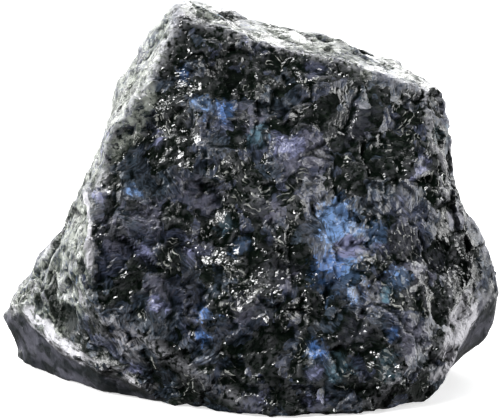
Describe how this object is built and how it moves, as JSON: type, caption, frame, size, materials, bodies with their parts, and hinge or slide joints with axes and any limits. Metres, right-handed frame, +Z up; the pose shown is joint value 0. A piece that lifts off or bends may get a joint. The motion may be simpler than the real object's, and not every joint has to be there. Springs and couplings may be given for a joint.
{
  "type": "raw larvikite stone",
  "caption": "Rough, unpolished lump of dark blue-black feldspar rock with blue schiller flashes, broken on all sides, which stands by itself as a specimen or shelf piece.",
  "frame": {"origin": "on the surface that the stone rests on, under the middle of its bounding box", "axes": "+X along the longest side, towards the bulge; -Y towards the big broken face; +Z up"},
  "size_m": [0.0638, 0.0408, 0.0472],
  "materials": {
    "stone": "freshly broken blue-black feldspar with black and violet-grey grains, blue flashes and glinting cleavage faces"
  },
  "bodies": {
    "root": {"stone": "stone"}
  },
  "joints": []
}
